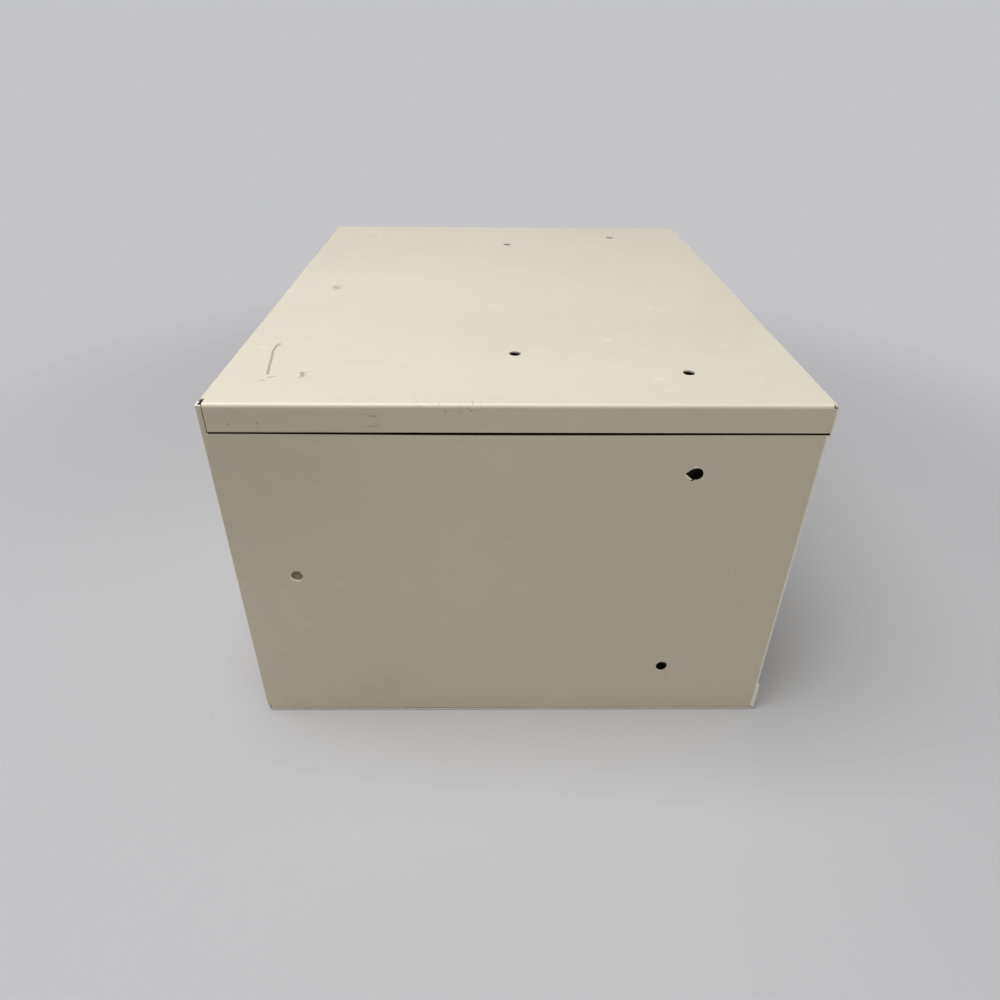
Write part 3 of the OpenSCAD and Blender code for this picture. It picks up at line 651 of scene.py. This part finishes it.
def paintInside(look):
    f = beigePaint("insidePaint")
    run = f.mottle(**look["run"])  # slide marks along the trays' way
    f.layer(run, paintSet["bareSteel"], wearShine["slid"], look["runMetal"])
    f.layer(f.mottle(**look["dirt"]), paintSet["grimeAndShade"], wearShine["scraped"])
    inset = f.sum("SUBTRACT", look["side"], f.sum("ABSOLUTE", f.x))
    f.layer(f.step(inset, *look["flangeDepth"]), look["flange"], wearShine["dusty"])  # painted shade in brown on the flanges behind the side holes
    # painted shade on the stiffener under the near rim of the top's back hole
    darkBlotAt(f, f.at, **look["topHoleShade"])
    return f.close()


# places in a drawer's own frame: across from its middle, back from its front, up from its underside
drawerSet = {"columnX": 91.5, "frontY": -151.0, "footZ": 22.6, "pitch": 43.8, "slack": 0.2}


def drawerPlace(f):
    look = drawerSet
    across = f.sum("SUBTRACT", f.sum("ABSOLUTE", f.x), look["columnX"])
    back = f.sum("SUBTRACT", f.y, look["frontY"])
    up = f.sum("SUBTRACT", f.z, look["footZ"] - look["slack"])
    up = f.sum("FLOORED_MODULO", up, look["pitch"])
    return f.sum("ABSOLUTE", across), back, f.sum("SUBTRACT", up, look["slack"])


traySet = {
    "pullMiddle": (0.0, -0.5, 15.0),
    "handReach": (62.0, 3.0, 17.0),
    "handSoft": 0.8,
    "handDirt": {"size": 6.0, "detail": 5.0, "rough": 0.65, "spread": (0.42, 0.72), "strength": 0.3},
    "sole": (0.7, 0.1),
    "run": {"size": (1.5, 120.0, 30.0), "detail": 3.0, "rough": 0.6, "spread": (0.5, 0.62), "strength": 0.8},
    "runMetal": 0.6,
    "rim": {"low": 35.4, "high": 37.3, "soft": 0.3},
    "rimBack": (2.5, 2.0),
    "chips": {"size": 3.0, "detail": 4.0, "rough": 0.6, "spread": (0.6, 0.66), "strength": 0.7},
    "chipMetal": 0.5,
    "flankSkin": (89.45, 89.6),
    "flankBack": (1.0, 4.0),
    "flankShade": (0.25, 0.235, 0.20),
    "flankDeep": (0.17, 0.155, 0.13),
    "streak": {"size": (2.0, 60.0, 1.2), "detail": 3.0, "rough": 0.6, "spread": (0.35, 0.65)},
    "flankMetal": 0.3,
    "insideBack": (1.0, 3.0),
    "insideUp": (6.0, 1.0),
    "dirt": {"size": 7.0, "detail": 5.0, "rough": 0.65, "spread": (0.45, 0.75), "strength": 0.4},
    "scrape": {"size": (14.0, 0.7, 3.0), "detail": 3.0, "rough": 0.6, "spread": (0.68, 0.72), "strength": 0.5},
}


def paintTrays(look):
    f = beigePaint("trayPaint")
    across, back, up = drawerPlace(f)
    hand = f.blot(f.point(across, back, up), look["pullMiddle"], look["handReach"], look["handSoft"])
    hand = f.both(hand, f.mottle(**look["handDirt"]))
    f.layer(hand, paintSet["grimeAndShade"], wearShine["handled"])  # grime where hands go
    run = f.both(f.step(up, *look["sole"]), f.mottle(**look["run"]))
    f.layer(run, paintSet["bareSteel"], wearShine["smooth"], look["runMetal"])
    chips = f.both(f.band(up, **look["rim"]), f.mottle(**look["chips"]), f.step(back, *look["rimBack"]))
    f.layer(chips, paintSet["bareSteel"], wearShine["cut"], look["chipMetal"])
    flankShade = f.both(f.step(across, *look["flankSkin"]), f.step(back, *look["flankBack"]))
    flankShadeTone = f.mix(f.mottle(**look["streak"]), look["flankShade"], look["flankDeep"])
    f.layer(flankShade, flankShadeTone, wearShine["cut"], look["flankMetal"])  # painted shade on the sides: dark steel with rubbed streaks
    inside = f.both(f.step(back, *look["insideBack"]), f.step(up, *look["insideUp"]))
    f.layer(f.both(inside, f.mottle(**look["dirt"])), paintSet["grimeAndShade"], wearShine["dusty"])
    scrape = f.both(inside, f.mottle(**look["scrape"]))
    f.layer(scrape, paintSet["bareSteel"], wearShine["slid"], look["chipMetal"])
    return f.close()


# nickel on the pulls and rivets
nickelSet = {
    "bright": (0.70, 0.675, 0.62),
    "dull": (0.56, 0.53, 0.47),
    "tarnish": (0.24, 0.19, 0.12),
    "grain": {"size": (30.0, 0.5, 0.5), "detail": 3.0, "rough": 0.6},
    "grainSpread": (0.35, 0.75),
    "grainDepth": 0.02,
    "shine": {"size": 7.0, "detail": 4.0, "rough": 0.6, "spread": (0.3, 0.75, 0.24, 0.46)},
    "spots": {"size": 3.5, "detail": 5.0, "rough": 0.7, "spread": (0.58, 0.72), "strength": 0.55},
    "spotShine": 0.55,
    "spotMetal": 0.85,
    "crease": {"low": 18.2, "high": 19.7, "soft": 0.5},
    "ends": (39.0, 42.0, 0.0, 0.7),
    "dirt": {"size": 2.2, "detail": 4.0, "rough": 0.65, "spread": (0.4, 0.7), "strength": 0.6},
    "dirtMetal": 0.7,
    "rivet": (45.5, 25.35),
    "rivetRim": (2.1, 2.9),
    "rivetStrength": 0.75,
    "rivetMetal": 0.6,
}


def nickel(name):
    look = nickelSet
    f = Finish(name, look["bright"], metallic=1.0)
    grain = f.noise(**look["grain"])
    f.layer(f.step(grain, *look["grainSpread"]), look["dull"])
    f.roughness = f.mottle(**look["shine"])
    f.relief(grain, look["grainDepth"])
    f.layer(f.mottle(**look["spots"]), look["tarnish"], look["spotShine"], look["spotMetal"])
    return f


def platePulls(look):
    f = nickel("pullNickel")
    across, _, up = drawerPlace(f)
    corners = f.either(f.band(up, **look["crease"]), f.step(across, *look["ends"]))
    dirt = f.both(corners, f.mottle(**look["dirt"]))
    f.layer(dirt, look["tarnish"], wearShine["handled"], look["dirtMetal"])
    return f.close()


def plateRivets(look):
    f = nickel("rivetNickel")
    across, _, up = drawerPlace(f)
    far = f.vec("DISTANCE", f.point(across, up), (*look["rivet"], 0.0))
    rim = f.both(f.step(far, *look["rivetRim"]), look["rivetStrength"])
    f.layer(rim, look["tarnish"], wearShine["handled"], look["rivetMetal"])
    return f.close()


zincSet = {
    "pale": (0.60, 0.615, 0.62),
    "deep": (0.45, 0.465, 0.475),
    "deepStrength": 0.5,
    "spangle": 9.0,
    "shake": {"size": 6.0, "amount": 1.5},
    "shine": {"size": 4.0, "detail": 4.0, "spread": (0.3, 0.7, 0.30, 0.42)},
    "spangleShine": 0.12,
    "brush": {"size": (0.5, 0.5, 12.0), "detail": 3.0},
    "brushDepth": 0.015,
    "bloom": (0.72, 0.72, 0.70),
    "bloomPatches": {"size": 11.0, "detail": 5.0, "rough": 0.65, "spread": (0.6, 0.75), "strength": 0.5},
    "bloomMetal": 0.3,
}


def zincDividers(look):
    f = Finish("dividerZinc", look["pale"], metallic=1.0)
    place = f.shaken(**look["shake"])
    grains = f.add("ShaderNodeTexVoronoi", {"Vector": place, "Scale": 1.0 / look["spangle"]})
    pick = f.add("ShaderNodeSeparateXYZ", {0: grains.outputs["Color"]}).outputs[0]
    f.layer(f.both(pick, look["deepStrength"]), look["deep"])
    f.roughness = f.sum("ADD", f.mottle(**look["shine"]), f.both(pick, look["spangleShine"]))
    f.relief(f.noise(**look["brush"]), look["brushDepth"])
    f.layer(f.mottle(**look["bloomPatches"]), look["bloom"], wearShine["scraped"], look["bloomMetal"])
    return f.close()


cardSet = {
    "paper": (0.80, 0.775, 0.69),
    "aged": (0.66, 0.58, 0.43),
    "rough": 0.88,
    "ends": (36.85, 41.85),
    "foot": (21.25, 18.65),
    "head": (28.55, 31.15),
    "ageing": {"size": 5.0, "detail": 4.0, "spread": (0.2, 0.8), "strength": 0.8},
    "fibre": {"size": (1.6, 0.4, 0.4), "detail": 4.0, "rough": 0.65},
    "fibreSpread": (0.5, 0.8),
    "fibreStrength": 0.3,
    "fibreDepth": 0.02,
    "specks": {"cell": 3.0, "radius": 0.3, "share": 0.12, "strength": 0.4},
}


def paperCards(look):
    f = Finish("cardPaper", look["paper"], look["rough"])
    across, _, up = drawerPlace(f)
    fibre = f.noise(**look["fibre"])
    edge = f.either(f.step(across, *look["ends"]), f.step(up, *look["foot"]), f.step(up, *look["head"]))
    f.layer(f.both(edge, f.mottle(**look["ageing"])), look["aged"])
    f.layer(f.both(f.step(fibre, *look["fibreSpread"]), look["fibreStrength"]), look["aged"])
    f.layer(f.specks(**look["specks"]), look["aged"])
    f.relief(fibre, look["fibreDepth"])
    return f.close()


coat(paintTop(topSet), "top_panel")
coat(paintWrap(wrapSet), "wrap")
coat(paintBase(baseSet), "bottom_panel")
coat(
    paintInside(insideSet),
    "drawer_deck", "shelf_1", "shelf_2", "shelf_3", "drawer_guides", "centre_upright", "top_stiffener",
)
print("case painted")

zinc = zincDividers(zincSet)
drawerFinishes = {
    "tray_": paintTrays(traySet),
    "pull_rivets_": plateRivets(nickelSet),
    "pull_": platePulls(nickelSet),
    "label_card_": paperCards(cardSet),
    "front_divider_": zinc,
    "rear_divider_": zinc,
}
for row in ("bottom", "lower", "upper", "top"):
    for column in ("left", "right"):
        for piece, finish in drawerFinishes.items():
            coat(finish, piece + row + "_" + column)
print("drawers finished")
